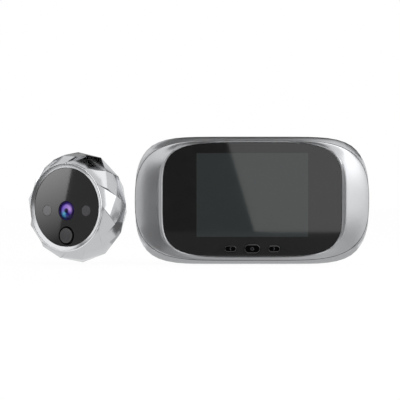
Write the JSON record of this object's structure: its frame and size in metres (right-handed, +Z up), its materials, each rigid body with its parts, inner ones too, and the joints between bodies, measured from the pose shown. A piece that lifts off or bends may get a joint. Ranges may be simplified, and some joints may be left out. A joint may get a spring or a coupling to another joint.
{
  "type": "peephole door camera",
  "caption": "Door viewer set: an indoor monitor with display and keys hanging on a steel door bracket, and a faceted outdoor camera unit with lens, infrared windows and bell button.",
  "frame": {"origin": "centre of the bracket's bolt hole on the door plane", "axes": "+X right as the viewer faces the monitor, +Y into the door, +Z up"},
  "size_m": [0.1778, 0.0415, 0.0666],
  "materials": {
    "silver_paint": "silver painted ABS, satin",
    "black_glass": "black backed acrylic, polished",
    "display": "display glass, switched off",
    "white_plastic": "moulded nylon",
    "circuit_board": "glass epoxy with green solder mask",
    "black_plastic": "moulded ABS",
    "key_black": "polished ABS",
    "cell_sleeve": "printed shrink sleeve, plain",
    "spring_steel": "nickel plated",
    "zinc_steel": "zinc plated sheet",
    "chrome": "chrome plated zinc casting",
    "lens_glass": "coated lens",
    "ir_filter": "infrared filter plastic",
    "brass": "turned",
    "rubber": "moulded"
  },
  "bodies": {
    "door_side": {"door_bracket": "zinc_steel", "faceted_shell": "chrome", "face_ring": "chrome", "face_cover": "black_glass", "lens_barrel": "black_plastic", "front_lens": "lens_glass", "lens_holder": "black_plastic", "image_sensor": "black_plastic", "camera_board": "circuit_board", "ir_windows": "ir_filter", "ir_leds": "ir_filter", "bell_switch": "black_plastic", "back_plate": "black_plastic", "back_plate_screws": "spring_steel", "threaded_socket": "brass", "outdoor_socket": "white_plastic", "door_gasket": "rubber"},
    "indoor_unit": {"front_bezel": "silver_paint", "front_glass": "black_glass", "lcd_panel": "display", "lcd_backlight": "white_plastic", "main_board": "circuit_board", "board_chips": "black_plastic", "cable_socket": "white_plastic", "key_switches": "black_plastic", "speaker": "black_plastic", "rear_housing": "silver_paint", "battery_cells": "cell_sleeve", "battery_contacts": "spring_steel", "housing_screws": "spring_steel", "board_screws": "spring_steel"},
    "left_key": {"left_key": "key_black"},
    "power_key": {"power_key": "key_black"},
    "right_key": {"right_key": "key_black"},
    "battery_door": {"battery_door": "silver_paint"},
    "bell_button": {"bell_button": "key_black"}
  },
  "joints": [
    {"name": "unit_lift", "type": "slide", "parent": "door_side", "child": "indoor_unit", "axis": [0, 0, 1], "range_m": [0, 0.006]},
    {"name": "left_key_press", "type": "slide", "parent": "indoor_unit", "child": "left_key", "axis": [0, 1, 0], "range_m": [0, 0.0005], "stiffness_N_per_m": 1500},
    {"name": "power_key_press", "type": "slide", "parent": "indoor_unit", "child": "power_key", "axis": [0, 1, 0], "range_m": [0, 0.0005], "stiffness_N_per_m": 1500},
    {"name": "right_key_press", "type": "slide", "parent": "indoor_unit", "child": "right_key", "axis": [0, 1, 0], "range_m": [0, 0.0005], "stiffness_N_per_m": 1500},
    {"name": "battery_door_swing", "type": "hinge", "parent": "indoor_unit", "child": "battery_door", "pos_m": [0.042, -0.00255, 0.0234], "axis": [1, 0, 0], "range_deg": [0, 90]},
    {"name": "bell_button_press", "type": "slide", "parent": "door_side", "child": "bell_button", "axis": [0.5299, 0.848, 0], "range_m": [0, 0.0008], "stiffness_N_per_m": 1200}
  ]
}
